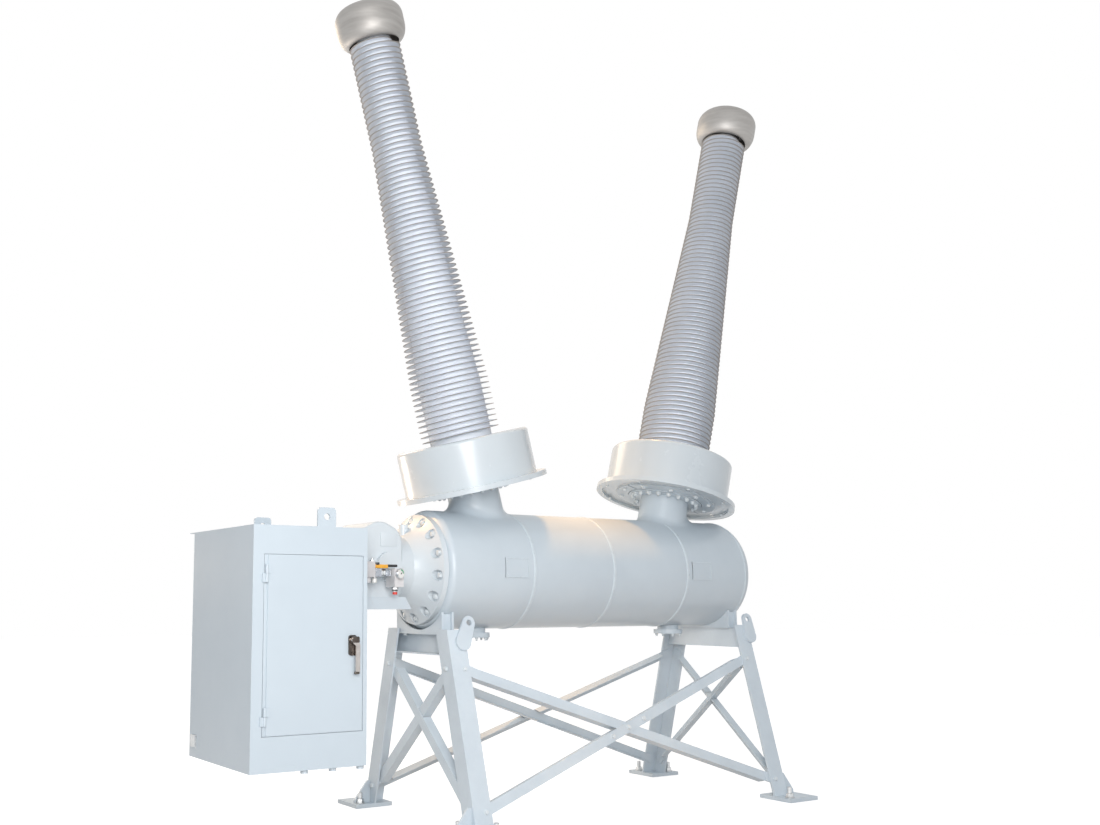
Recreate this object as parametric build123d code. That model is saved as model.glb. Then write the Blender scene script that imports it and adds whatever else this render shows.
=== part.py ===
# One pole of a dead-tank gas circuit breaker for a substation yard: a gas tank on a braced
# angle-steel stand, two leaning bushings with current-transformer drums at their feet, and an
# operating cabinet hung from the bell housing at the end of the tank.
# Millimetres. X runs along the tank with the cabinet at minus X, the cabinet door faces minus Y,
# Z is up, and the origin is on the floor at the centre of the four feet.
import os
from math import atan2, cos, degrees, hypot, radians, sin, sqrt, tan

from build123d import *

os.makedirs("parts", exist_ok=True)

# cutting overrun and the gap left between seated round faces
overrun = 30.0
seat_gap = 0.3

# gas tank, measured from the stand's centre and the tank's own axis
tank_d = 610.0
tank_wall = 10.0
tank_seat = 5.0
tank_left = 1017.0
tank_right = 1020.0
end_ring_len = 72.0
end_ring_in = 85.0
end_ring_round = 36.0
head_depth = 108.0
head_knuckle = 60.0

# bushing turrets: places along a bushing are measured from the tank axis
bushing_x = 578.0
bushing_lean = 14.5
neck_d = 278.0
neck_wall = 10.0
neck_round = 62.0
turret_flange_d = 430.0
turret_flange_t = 16.0
turret_rise = 153.0

# current-transformer drum and its base ring
base_d = 812.0
base_drop = 14.0
base_t = 12.0
base_rim = 34.0
clamp_d = 577.0
clamp_t = 10.0
clamp_clear = 3.0
clamp_split = 14.0
drum_d = 712.0
drum_wall = 5.0
drum_h = 254.0
drum_round = 18.0

# composite insulator with a cylinder at each end and a cone between
tube_low_d = 334.0
tube_high_d = 184.0
shed_overhang = 45.0
insulator_len = 2182.0
shed_count = 74
shed_sides = 12
shed_root_share = 0.26
shed_tip_share = 0.13
cone_start_share = 0.14
cone_end_share = 0.73

# corona shield and the terminal inside it
shield_lap = 20.0
shield_h = 196.0
shield_d = 368.0
shield_mouth_d = 272.0
shield_top_d = 252.0
shield_wall = 4.0
shield_low_round = 80.0
shield_top_round = 66.0
cap_d = 176.0
cap_h = 64.0
cap_plate_t = 12.0
terminal_d = 40.0
terminal_len = 80.0

# bell housing and its bolted cover
cover_step = 50.0
cover_rim_t = 28.0
bell_in = 115.0
bell_flare = 102.0
flare_mid_share = 0.42
flare_rise_share = 0.43
cover_bolt_in = 32.0
cover_bolt_count = 14
cover_bolt_turn = -8.0
spot_face_d = 54.0
crank_box_start = 198.0
crank_box_len = 285.0
crank_box_side = 5.0
crank_box_up = 238.0
crank_box_peak = 125.0
crank_box_near_fall = 62.0
crank_box_far_fall = 77.0
crank_box_down = 180.0
crank_box_corner = 96.0
crank_box_edge = 16.0
lift_boss_d = 52.0
lift_boss_top = 226.0
lift_boss_start = 100.0
adaptor_w = 240.0
adaptor_h = 280.0

# support arms under the crank box
arm_depth = 60.0
arm_t = 32.0
arm_wall = 6.0
arm_drop = 200.0
arm_end_x = 1222.0
arm_end_slope = 36.0

# stand legs: equal angles, upright along the tank and splayed across it
leg_x = 1037.0
leg_y = 540.0
leg_splay = 15.0
leg_size = 102.0
leg_t = 10.0
leg_top = 943.0
foot_size = 216.0
foot_t = 20.0
anchor_hole_d = 30.0
anchor_offset = 64.0
gusset_reach = 92.0
gusset_h = 112.0
gusset_nose = 18.0
gusset_t = 12.0
gusset_set = 58.0

# lifting lugs on the legs, placed from the heel of the leg they are welded to
lug_t = 14.0
lug_hole_d = 30.0
lug_top_r = 34.0
lug_low_r = 42.0
lug_hole_z = 974.0
lug_low_z = 882.0
lug_left_hole_in = 127.0
lug_left_low_in = 80.0
lug_right_hole_in = 3.0
lug_right_low_in = 5.0

# cross beams and tank saddles
beam_top = 925.0
beam_depth = 108.0
beam_flange = 50.0
beam_t = 8.0
saddle_wrap = 90.0
saddle_lip = 4.0
saddle_base_t = 9.0
saddle_x = 988.0
saddle_base_w = 72.0
saddle_pitch = 60.0
saddle_plate_t = 12.0
saddle_web_t = 10.0
saddle_web_set = 20.0

# braces: equal angles with their standing flange coped at the ends
brace_size = 50.0
brace_t = 5.0
brace_low_z = 108.0
brace_high_z = 756.0
brace_side_in = 70.0
brace_end_in = 56.0
brace_end_margin = 26.0
brace_cope = 84.0
brace_notch_gap = 6.0

# flanged ports under the tank
port_x = 685.0
port_neck_d = 120.0
port_d = 166.0
port_plate_t = 24.0
port_drop = 44.0

# operating cabinet of folded sheet
cab_right = 1525.0
cab_w = 570.0
cab_d = 740.0
cab_bottom = 345.0
cab_h = 1075.0
sheet = 3.0
roof_overhang = 65.0
cab_lug_w = 92.0
cab_lug_h = 88.0
cab_lug_t = 10.0
cab_lug_round = 18.0
cab_lug_hole_d = 30.0
cab_lug_hole_up = 46.0
cab_lug_in = 211.0
pad_w = 64.0
pad_h = 56.0
pad_t = 9.0
pad_y = 306.0
pad_up = 78.0
drain_d = 34.0
drain_drop = 16.0
drain_in = 30.0
drain_pitch = 140.0
drain_first = 17.0

# cabinet door, its hinges and its handle
door_left_in = 72.0
door_right_in = 27.0
door_up = 160.0
door_head = 135.0
door_depth = 22.0
door_gap = 6.0
hinge_gap = 20.0
frame_lip = 14.0
knuckle_d = 14.0
knuckle_len = 39.0
knuckle_split = 0.5
pin_d = 7.0
pin_clear = 0.3
hinge_out = 8.0
hinge_in = 9.0
hinge_pad = 21.0
hinge_set = 80.0
plate_w = 40.0
plate_h = 92.0
plate_t = 10.0
plate_round = 12.0
handle_in = 51.0
handle_up = 402.0
handle_hub_d = 30.0
handle_gap = 6.0
handle_t = 12.0
handle_w = 21.0
handle_drop = 152.0
handle_side = 17.0
spindle_d = 12.0

# gas fittings on the crank box's front
gas_boss_d = 140.0
gas_boss_t = 24.0
gas_boss_in = 87.0
gas_boss_up = 7.0
gas_line_out = 58.0
gas_line_down = 26.0
gas_stub_d = 22.0
tee_out = 52.0
tee_size = 32.0
gas_line_d = 26.0
gas_left_end = 20.0
gas_right_end = 77.0
switch_w = 46.0
switch_d = 52.0
switch_h = 74.0
switch_up = 52.0
switch_cap_d = 24.0
switch_cap_h = 26.0
valve_out = 110.0
valve_size = 38.0
stem_d = 10.0
stem_h = 24.0
lever_hub_d = 24.0
lever_len = 110.0
lever_w = 20.0
lever_t = 5.0
lever_rise = 12.0
monitor_w = 50.0
monitor_d = 84.0
monitor_h = 88.0
monitor_up = 20.0
dial_d = 48.0
dial_t = 12.0
fill_d = 22.0
fill_h = 34.0

# places that several pieces share
tank_r = tank_d / 2
tank_z = beam_top + saddle_base_t + tank_seat + tank_r
cover_d = tank_d - cover_step
cover_bolt_circle = cover_d - 2 * cover_bolt_in
bell_d = cover_d - 2 * bell_in
crank_box_half = bell_d / 2 + crank_box_side
saddle_top = tank_z - tank_r + saddle_wrap
saddle_half = sqrt(2 * tank_r * saddle_wrap - saddle_wrap**2) + saddle_lip
arm_bottom = tank_z - arm_drop
splay_rise = tan(radians(leg_splay))
turret_top = tank_r + turret_rise
base_top = turret_top + base_t
drum_top = turret_top + drum_h
insulator_top = drum_top + insulator_len
shield_low = insulator_top - shield_lap
cab_left = cab_right + cab_w
cab_top = cab_bottom + cab_h
cab_front = cab_d / 2
door_left = cab_left - door_left_in
door_right = cab_right + door_right_in
door_bottom = cab_bottom + door_up
door_top = cab_top - door_head
hinge_x = door_left + hinge_in
hinge_y = cab_front + hinge_out
handle_x = door_right + handle_in
handle_z = door_bottom + handle_up
boss_front = crank_box_half + gas_boss_t
line_y = boss_front + gas_line_out
gas_line_z = tank_z - gas_line_down
gas_boss_x = tank_left + crank_box_start + gas_boss_in
tee_x = gas_boss_x + tee_out
valve_x = gas_boss_x + valve_out


def save(name, solid):
    export_step(solid, os.path.join("parts", name + ".step"))


def slab(x_range, y_range, z_range):
    x0, x1 = x_range
    y0, y1 = y_range
    z0, z1 = z_range
    return Pos((x0 + x1) / 2, (y0 + y1) / 2, (z0 + z1) / 2) * Box(abs(x1 - x0), abs(y1 - y0), abs(z1 - z0))


def rod(d, low, high):
    return Pos(0, 0, (low + high) / 2) * Cylinder(d / 2, high - low)


def turned(points):
    outline = Polyline([(r, 0, h) for r, h in points], close=True)
    return revolve(make_face(outline), Axis.Z)


def heel_y(z):
    return leg_y - z * splay_rise


def tank_frame(x, towards):
    return Plane(origin=(x, 0, tank_z), x_dir=(0, 1, 0), z_dir=(towards, 0, 0)).location


def bushing_frame(side):
    lean = radians(bushing_lean)
    origin = (side * bushing_x, 0, tank_z)
    along = (side * sin(lean), 0, cos(lean))
    return Plane(origin=origin, x_dir=(cos(lean), 0, -side * sin(lean)), z_dir=along).location


def front_frame(y_at_floor, inward):
    # the sloping plane of the front legs' outer flanges, with its normal outward or inward
    lean = radians(leg_splay)
    normal = (0, inward * cos(lean), -inward * sin(lean))
    return Plane(origin=(0, -y_at_floor, 0), x_dir=(1, 0, 0), z_dir=normal)


def tank_shell():
    length = tank_left + tank_right
    body = tank_frame(-tank_left, 1) * rod(tank_d, 0, length)
    for side in (-1, 1):
        body += bushing_frame(side) * rod(neck_d, 0, turret_top)
    joins = body.edges().filter_by(lambda e: e.geom_type not in (GeomType.LINE, GeomType.CIRCLE))
    body = fillet(joins, neck_round)
    rim = body.edges().filter_by(GeomType.CIRCLE).sort_by(Axis.X)[0]
    body = fillet(rim, end_ring_round)
    body -= tank_frame(-tank_left, 1) * rod(tank_d - 2 * tank_wall, end_ring_len, length + overrun)
    bore = tank_d - 2 * end_ring_in
    body -= tank_frame(-tank_left, 1) * rod(bore, -overrun, end_ring_len + overrun)
    for side in (-1, 1):
        body -= bushing_frame(side) * rod(neck_d - 2 * neck_wall, 0, turret_top + overrun)
    return body


def turret_flange():
    # the ring that the neck's end is welded into
    ring = rod(turret_flange_d, turret_top - turret_flange_t, turret_top)
    return ring - rod(neck_d + 2 * seat_gap, turret_top - turret_flange_t - overrun, turret_top + overrun)


def tank_head():
    # a dished end: a wide crown that meets the shell in a small knuckle
    flat = tank_r - head_knuckle
    crown = (flat**2 + head_depth**2 - head_knuckle**2) / (2 * (head_depth - head_knuckle))
    meet = degrees(atan2(crown - head_depth, flat))
    edges = []
    for wall in (0, tank_wall):
        edges.append(CenterArc((flat, 0), head_knuckle - wall, 0, meet))
        edges.append(CenterArc((0, head_depth - crown), crown - wall, meet, 90 - meet))
    edges.append(Line((tank_r - tank_wall, 0), (tank_r, 0)))
    edges.append(Line((0, head_depth - tank_wall), (0, head_depth)))
    return tank_frame(tank_right, 1) * revolve(Rot(90, 0, 0) * make_face(edges), Axis.Z)


def crank_box():
    # a cast box with round corners and a ridge across its roof
    near = -tank_left - crank_box_start
    far = near - crank_box_len
    outline = Polyline(
        (far, -crank_box_down),
        (near, -crank_box_down),
        (near, crank_box_up - crank_box_near_fall),
        (near - crank_box_peak, crank_box_up),
        (far, crank_box_up - crank_box_far_fall),
        close=True,
    )
    face = Plane((0, 0, tank_z), x_dir=(1, 0, 0), z_dir=(0, -1, 0))
    front = make_face(outline)
    front = fillet(front.vertices(), crank_box_corner)
    box = extrude(face * front, crank_box_half, both=True)
    return fillet(box.faces().filter_by(Axis.Y).edges(), crank_box_edge)


def bell_housing():
    rim_r = cover_d / 2
    bell_r = bell_d / 2
    bell_end = crank_box_start + crank_box_len / 2
    flare_end = cover_rim_t + bell_flare
    middle = (bell_r + bell_in * flare_mid_share, cover_rim_t + bell_flare * flare_rise_share)
    outline = [
        Line((0, 0), (rim_r, 0)),
        Line((rim_r, 0), (rim_r, cover_rim_t)),
        ThreePointArc((rim_r, cover_rim_t), middle, (bell_r, flare_end)),
        Line((bell_r, flare_end), (bell_r, bell_end)),
        Line((bell_r, bell_end), (0, bell_end)),
        Line((0, bell_end), (0, 0)),
    ]
    cover = revolve(Rot(90, 0, 0) * make_face(outline), Axis.Z)
    for angle in range(cover_bolt_count):
        turn = cover_bolt_turn + angle * 360 / cover_bolt_count
        spot = Rot(0, 0, turn) * Pos(cover_bolt_circle / 2, 0, 0)
        cover -= spot * rod(spot_face_d, cover_rim_t, flare_end + overrun)
    housing = tank_frame(-tank_left, -1) * cover
    housing += crank_box()
    housing += Pos(-tank_left - lift_boss_start, 0, tank_z) * rod(lift_boss_d, 0, lift_boss_top)
    box_end = tank_left + crank_box_start + crank_box_len
    housing += slab(
        (-cab_right, -box_end + crank_box_corner),
        (-adaptor_w / 2, adaptor_w / 2),
        (tank_z - adaptor_h / 2, tank_z + adaptor_h / 2),
    )
    return housing


def support_arm(side):
    # a channel on the side of the crank box, open outward, its far end cut to a slope
    y0 = crank_box_half
    top = arm_bottom + arm_depth
    outline = Polyline(
        (-cab_right, y0, arm_bottom),
        (-arm_end_x + arm_end_slope, y0, arm_bottom),
        (-arm_end_x, y0, top),
        (-cab_right, y0, top),
        close=True,
    )
    arm = extrude(make_face(outline), arm_t, dir=(0, 1, 0))
    pocket = slab(
        (-cab_right + arm_wall, -arm_end_x - arm_wall),
        (y0 - overrun, y0 + arm_t - arm_wall),
        (arm_bottom + arm_wall, top - arm_wall),
    )
    arm -= pocket
    return arm if side > 0 else mirror(arm, Plane.XZ)


def drum_base():
    hole = tube_low_d / 2 + seat_gap
    rim_in = base_d / 2 - base_rim
    return turned([
        (hole, turret_top),
        (rim_in, turret_top),
        (rim_in, turret_top - base_drop),
        (base_d / 2, turret_top - base_drop),
        (base_d / 2, base_top),
        (hole, base_top),
    ])


def clamp_plates():
    # two half rings under the base, round the turret flange
    ring = rod(clamp_d, turret_top - clamp_t, turret_top)
    ring -= rod(turret_flange_d + 2 * clamp_clear, turret_top - clamp_t - overrun, turret_top + overrun)
    ring -= Pos(0, 0, turret_top) * Box(clamp_d + overrun, clamp_split, 2 * (clamp_t + overrun))
    return Compound(ring.solids())


def drum():
    body = rod(drum_d, base_top, drum_top)
    body = fillet(body.edges().sort_by(Axis.Z)[-1], drum_round)
    inside = rod(drum_d - 2 * drum_wall, base_top - overrun, drum_top - drum_wall)
    body -= fillet(inside.edges().sort_by(Axis.Z)[-1], drum_round - drum_wall)
    return body - rod(tube_low_d + 2 * seat_gap, base_top, drum_top + overrun)


def tube_radius(share):
    # the tube's radius at a share of its height above the drum
    fade = (share - cone_start_share) / (cone_end_share - cone_start_share)
    fade = min(max(fade, 0), 1)
    return (tube_low_d + (tube_high_d - tube_low_d) * fade) / 2


def insulator():
    height = insulator_top - drum_top
    stations = [(turret_top, tube_low_d / 2)]
    for number in range(shed_count):
        root = number / shed_count
        tip = (number + shed_tip_share) / shed_count
        back = (number + shed_root_share) / shed_count
        stations.append((drum_top + root * height, tube_radius(root)))
        stations.append((drum_top + tip * height, tube_radius(tip) + shed_overhang))
        stations.append((drum_top + back * height, tube_radius(back)))
    stations.append((insulator_top, tube_high_d / 2))
    rings = [Pos(0, 0, h) * RegularPolygon(r, shed_sides) for h, r in stations]
    return loft(rings, ruled=True)


def corona_shield():
    low_r = shield_mouth_d / 2
    top_r = shield_top_d / 2
    wide_r = shield_d / 2
    low_h = shield_low + shield_low_round
    top_h = shield_low + shield_h - shield_top_round
    top = shield_low + shield_h
    with BuildPart() as shield:
        with BuildSketch(Plane.XZ):
            with BuildLine():
                for wall in (0, shield_wall):
                    EllipticalCenterArc((low_r, low_h), wide_r - low_r - wall, shield_low_round - wall, 270)
                    Line((wide_r - wall, low_h), (wide_r - wall, top_h))
                    EllipticalCenterArc((top_r, top_h), wide_r - top_r - wall, shield_top_round - wall, 0)
                Line((low_r, shield_low), (low_r, shield_low + shield_wall))
                Line((top_r, top), (top_r, top - shield_wall))
            make_face()
        revolve(axis=Axis.Z)
    return shield.part


def terminal():
    # the insulator's end fitting, the plate that holds the shield, and the line stud
    plate_r = shield_d / 2 - shield_wall - seat_gap
    plate_low = insulator_top + cap_h
    plate_top = plate_low + cap_plate_t
    return turned([
        (0, insulator_top),
        (cap_d / 2, insulator_top),
        (cap_d / 2, plate_low),
        (plate_r, plate_low),
        (plate_r, plate_top),
        (terminal_d / 2, plate_top),
        (terminal_d / 2, plate_top + terminal_len),
        (0, plate_top + terminal_len),
    ])


def back_right_leg():
    y = heel_y(foot_t)
    outline = Polyline(
        (leg_x, y, foot_t),
        (leg_x - leg_size, y, foot_t),
        (leg_x - leg_size, y - leg_t, foot_t),
        (leg_x - leg_t, y - leg_t, foot_t),
        (leg_x - leg_t, y - leg_size, foot_t),
        (leg_x, y - leg_size, foot_t),
        close=True,
    )
    lean = radians(leg_splay)
    leg = extrude(make_face(outline), (leg_top - foot_t) / cos(lean), dir=(0, -sin(lean), cos(lean)))
    plate = Pos(leg_x, leg_y, foot_t / 2) * Box(foot_size, foot_size, foot_t)
    for step in (-1, 1):
        hole = Pos(leg_x + step * anchor_offset, leg_y - step * anchor_offset, 0)
        plate -= hole * rod(anchor_hole_d, -overrun, foot_t + overrun)
    web_y = leg_y - gusset_set
    gusset = Polyline(
        (leg_x, web_y, foot_t),
        (leg_x + gusset_reach, web_y, foot_t),
        (leg_x + gusset_reach, web_y, foot_t + gusset_nose),
        (leg_x + gusset_nose, web_y, foot_t + gusset_h),
        (leg_x, web_y, foot_t + gusset_h),
        close=True,
    )
    return leg + plate + extrude(make_face(gusset), gusset_t, dir=(0, 1, 0))


def leg_lug(side):
    # a tapered plate on the outer face of a front leg
    rise = 1 / cos(radians(leg_splay))
    hole_in = lug_left_hole_in if side < 0 else lug_right_hole_in
    low_in = lug_left_low_in if side < 0 else lug_right_low_in
    high = Pos(side * (leg_x - hole_in), lug_hole_z * rise)
    low = Pos(side * (leg_x - low_in), lug_low_z * rise)
    outline = make_hull((high * Circle(lug_top_r)).edges() + (low * Circle(lug_low_r)).edges())
    outline -= high * Circle(lug_hole_d / 2)
    return extrude(front_frame(leg_y, -1) * outline, lug_t)


def cross_beam():
    lip = leg_x - leg_t
    low = beam_top - beam_depth
    reach = heel_y(low)
    beam = slab((lip - beam_flange, lip), (-reach, reach), (low, beam_top))
    open_side = (lip - beam_flange + beam_t, lip + overrun)
    beam -= slab(open_side, (-leg_y, leg_y), (low + beam_t, beam_top - beam_t))
    ends = Polyline(
        (0, -heel_y(low) + leg_t, low),
        (0, heel_y(low) - leg_t, low),
        (0, heel_y(beam_top) - leg_t, beam_top),
        (0, -heel_y(beam_top) + leg_t, beam_top),
        close=True,
    )
    return beam & extrude(make_face(ends), leg_x, dir=(1, 0, 0))


def saddle():
    base = beam_top + saddle_base_t
    wide = (saddle_x - saddle_base_w / 2, saddle_x + saddle_base_w / 2)
    body = slab(wide, (-saddle_half, saddle_half), (beam_top, base))
    for step in (-1, 1):
        x = saddle_x + step * saddle_pitch / 2
        body += slab(
            (x - saddle_plate_t / 2, x + saddle_plate_t / 2),
            (-saddle_half, saddle_half),
            (base, saddle_top),
        )
        y = step * (saddle_half - saddle_web_set)
        body += slab(
            (saddle_x - saddle_pitch / 2, saddle_x + saddle_pitch / 2),
            (y - saddle_web_t / 2, y + saddle_web_t / 2),
            (base, saddle_top),
        )
    return body - tank_frame(0, 1) * rod(tank_d + 2 * seat_gap, leg_x - leg_size - overrun, leg_x + overrun)


def brace_place(plane, start, end, depth):
    run = hypot(end[0] - start[0], end[1] - start[1])
    turn = degrees(atan2(end[1] - start[1], end[0] - start[0]))
    middle = Pos((start[0] + end[0]) / 2, (start[1] + end[1]) / 2, depth) * Rot(0, 0, turn)
    return plane.location * middle, run


def brace_pair(plane, low_half, high_half, low, high, up):
    # two crossing angles behind a pair of legs; up is 1 where the plane's Y axis points upward
    half = brace_size / 2
    pair = []
    front, run = brace_place(plane, (-low_half, up * low), (high_half, up * high), 0)
    back, _ = brace_place(plane, (low_half, up * low), (-high_half, up * high), brace_t)
    length = run / 2 + brace_end_margin
    for place in (front, back):
        flat = slab((-length, length), (-half, half), (0, brace_t))
        edge = (half - brace_t, half) if up > 0 else (-half, -half + brace_t)
        stand = slab((brace_cope - length, length - brace_cope), edge, (brace_t, brace_size))
        pair.append(place * (flat + stand))
    notch = slab(
        (-length, length),
        (-half - brace_notch_gap, half + brace_notch_gap),
        (0, brace_size + overrun),
    )
    pair[0] -= back * notch
    for step in (-1, 1):
        packer = slab((step * length, step * (length - brace_cope)), (-half, half), (-brace_t, 0))
        pair[1] += back * packer
    return pair


def tank_port(side):
    low = tank_z - tank_r - port_drop
    port = rod(port_d, low, low + port_plate_t) + rod(port_neck_d, low, tank_z)
    port = Pos(side * port_x, 0, 0) * port
    return port - tank_frame(0, 1) * rod(tank_d + 2 * seat_gap, -tank_left, tank_right)


def cabinet_walls():
    sides = (-cab_front, cab_front)
    upright = (cab_bottom + sheet, cab_top - sheet)
    across = (-cab_left + sheet, -cab_right - sheet)
    front = (-cab_front, -cab_front + sheet)
    doorway = (-door_left - hinge_gap, -door_right + door_gap)
    sill = door_bottom - door_gap
    lintel = door_top + door_gap
    full = (-cab_left, -cab_right)
    roofed = (-cab_front, cab_front + roof_overhang)
    return {
        "cabinet_floor": slab(full, sides, (cab_bottom, cab_bottom + sheet)),
        "cabinet_roof": slab(full, roofed, (cab_top - sheet, cab_top)),
        "cabinet_left_wall": slab((-cab_left, -cab_left + sheet), sides, upright),
        "cabinet_right_wall": slab((-cab_right - sheet, -cab_right), sides, upright),
        "cabinet_back_wall": slab(across, (cab_front - sheet, cab_front), upright),
        "front_left_panel": slab((across[0], doorway[0]), front, upright),
        "front_right_panel": slab((doorway[1], across[1]), front, upright),
        "front_top_panel": slab(doorway, front, (lintel, upright[1])),
        "front_bottom_panel": slab(doorway, front, (upright[0], sill)),
    }


def door_frame():
    # strips round the doorway: four run back from the front, four turn in behind the door
    back = -cab_front + door_depth + door_gap
    deep = (-cab_front + sheet, back + sheet)
    lip = (back, back + sheet)
    left = -door_left - hinge_gap
    right = -door_right + door_gap
    sill = door_bottom - door_gap
    lintel = door_top + door_gap
    inner_left = -door_left + frame_lip
    inner_right = -door_right - frame_lip
    inside = (inner_left, inner_right)
    return [
        slab((left - sheet, left), deep, (sill, lintel)),
        slab((right, right + sheet), deep, (sill, lintel)),
        slab((left, right), deep, (lintel, lintel + sheet)),
        slab((left, right), deep, (sill - sheet, sill)),
        slab((left, inner_left), lip, (sill, lintel)),
        slab((inner_right, right), lip, (sill, lintel)),
        slab(inside, lip, (door_top - frame_lip, lintel)),
        slab(inside, lip, (sill, door_bottom + frame_lip)),
    ]


def cabinet_lugs():
    x = -cab_right - cab_lug_in
    lugs = []
    for y in (-cab_front, cab_front - cab_lug_t):
        face = Plane((x, y, cab_top), x_dir=(1, 0, 0), z_dir=(0, -1, 0))
        outline = Pos(0, cab_lug_h / 2) * Rectangle(cab_lug_w, cab_lug_h)
        outline = fillet(outline.vertices().group_by(Axis.Y)[-1], cab_lug_round)
        outline -= Pos(0, cab_lug_hole_up) * Circle(cab_lug_hole_d / 2)
        lugs.append(extrude(face * outline, -cab_lug_t))
    return lugs


def ground_pad():
    low = cab_bottom + pad_up - pad_h / 2
    return slab((-cab_left - pad_t, -cab_left), (pad_y - pad_w / 2, pad_y + pad_w / 2), (low, low + pad_h))


def floor_drains():
    drains = []
    for number in range(3):
        x = -cab_right - drain_first - number * drain_pitch
        drains.append(Pos(x, -cab_front + drain_in, 0) * rod(drain_d, cab_bottom - drain_drop, cab_bottom))
    return drains


def cabinet_door():
    y0 = -cab_front
    pan = slab((-door_left, -door_right), (y0, y0 + door_depth), (door_bottom, door_top))
    hollow = slab(
        (-door_left + sheet, -door_right - sheet),
        (y0 + sheet, y0 + door_depth + overrun),
        (door_bottom + sheet, door_top - sheet),
    )
    return pan - hollow


def hinge_spots():
    return (door_bottom + hinge_set, door_top - hinge_set)


def hinge_pins():
    # the fixed half of each lift-off hinge: a knuckle with its pin and a welding pad
    pins = []
    for z in hinge_spots():
        knuckle = rod(knuckle_d, z - knuckle_len, z - knuckle_split)
        knuckle += rod(pin_d, z - knuckle_len, z + knuckle_len - sheet)
        pad = slab((-hinge_pad, 0), (0, hinge_out), (z - knuckle_len, z - knuckle_split))
        pins.append(Pos(-hinge_x, -hinge_y, 0) * (knuckle + pad))
    return pins


def door_knuckles():
    # the lifting half of each hinge, on the door's edge
    knuckles = []
    for z in hinge_spots():
        knuckle = rod(knuckle_d, z + knuckle_split, z + knuckle_len)
        knuckle += slab((0, hinge_pad), (0, hinge_out), (z + knuckle_split, z + knuckle_len))
        knuckle -= rod(pin_d + 2 * pin_clear, z - knuckle_len, z + knuckle_len - sheet + pin_clear)
        knuckles.append(Pos(-hinge_x, -hinge_y, 0) * knuckle)
    return knuckles


def handle_plate():
    face = Plane((-handle_x, -cab_front, handle_z - plate_h / 4), x_dir=(1, 0, 0), z_dir=(0, -1, 0))
    outline = RectangleRounded(plate_w, plate_h, plate_round)
    outline -= Pos(0, plate_h / 4) * Circle(spindle_d / 2 + pin_clear)
    return extrude(face * outline, plate_t)


def door_handle():
    # hub on a spindle, with a grip that hangs beside it
    face = Plane((-handle_x, -cab_front - plate_t, handle_z), x_dir=(1, 0, 0), z_dir=(0, -1, 0))
    half = handle_w / 2
    grip = make_hull(
        (Pos(handle_side, -handle_w) * Circle(half)).edges()
        + (Pos(handle_side, -handle_drop + half) * Circle(half)).edges()
    )
    hub = Circle(handle_hub_d / 2)
    neck = make_hull(hub.edges() + (Pos(handle_side, -handle_w) * Circle(half)).edges())
    body = Pos(0, 0, handle_gap) * extrude(grip + neck, handle_t)
    body += rod(handle_hub_d, seat_gap, handle_gap)
    body += rod(spindle_d, -plate_t + seat_gap, handle_gap)
    return face.location * body


def gas_boss():
    face = Plane((-gas_boss_x, -crank_box_half, tank_z + gas_boss_up), z_dir=(0, -1, 0))
    boss = face.location * rod(gas_boss_d, 0, gas_boss_t)
    stub = Plane((-tee_x, -boss_front, gas_line_z), z_dir=(0, -1, 0)).location
    return boss + stub * rod(gas_stub_d, -gas_boss_t, gas_line_out - tee_size / 2)


def gas_valve():
    # the line on its tee, and the ball valve with the stem that carries the lever
    line = Plane((-valve_x, -line_y, gas_line_z), z_dir=(1, 0, 0)).location
    body = line * rod(gas_line_d, -gas_left_end, gas_right_end)
    half = valve_size / 2
    body += Pos(-valve_x, -line_y, gas_line_z) * Box(valve_size, valve_size, valve_size)
    body += Pos(-tee_x, -line_y, gas_line_z) * Box(tee_size, tee_size, tee_size)
    stem = Pos(-valve_x, -line_y, gas_line_z)
    return body + stem * rod(stem_d, 0, half + stem_h)


def valve_lever():
    low = gas_line_z + valve_size / 2 + lever_rise
    blade = slab((0, lever_len), (-lever_w / 2, lever_w / 2), (low, low + lever_t))
    blade += rod(lever_hub_d, low, low + lever_t)
    blade -= rod(stem_d + 2 * pin_clear, low - overrun, low + overrun)
    return Pos(-valve_x, -line_y, 0) * blade


def pressure_switch():
    right = -valve_x - gas_left_end
    low = gas_line_z + switch_up - switch_h
    body = slab(
        (right - switch_w, right),
        (-line_y - switch_d / 2, -line_y + switch_d / 2),
        (low, low + switch_h),
    )
    return body + Pos(right - switch_w / 2, -line_y, 0) * rod(switch_cap_d, low - switch_cap_h, low)


def density_monitor():
    left = -valve_x + gas_right_end
    top = gas_line_z + monitor_up
    front = -line_y - monitor_d / 2
    body = slab((left, left + monitor_w), (front, front + monitor_d), (top - monitor_h, top))
    dial = Plane((left + monitor_w / 2, front, top - dial_d / 2), z_dir=(0, -1, 0)).location
    body += dial * rod(dial_d, -dial_t, dial_t)
    low = top - monitor_h
    return body + Pos(left + monitor_w / 2, -line_y, 0) * rod(fill_d, low - fill_h, low)


save("tank_shell", tank_shell())
save("tank_head", tank_head())
save("turret_flanges", Compound([bushing_frame(side) * turret_flange() for side in (-1, 1)]))
save("bell_housing", bell_housing())
save("tank_ports", Compound([tank_port(side) for side in (-1, 1)]))

for name, side in (("left", -1), ("right", 1)):
    place = bushing_frame(side)
    save("drum_base_" + name, place * drum_base())
    save("clamp_plates_" + name, place * clamp_plates())
    save("drum_" + name, place * drum())
    save("insulator_" + name, place * insulator())
    save("corona_shield_" + name, place * corona_shield())
    save("terminal_" + name, place * terminal())

back_leg = back_right_leg()
front_leg = mirror(back_leg, Plane.XZ)
save("leg_back_right", back_leg)
save("leg_front_right", front_leg)
save("leg_back_left", mirror(back_leg, Plane.YZ))
save("leg_front_left", mirror(front_leg, Plane.YZ))

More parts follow.
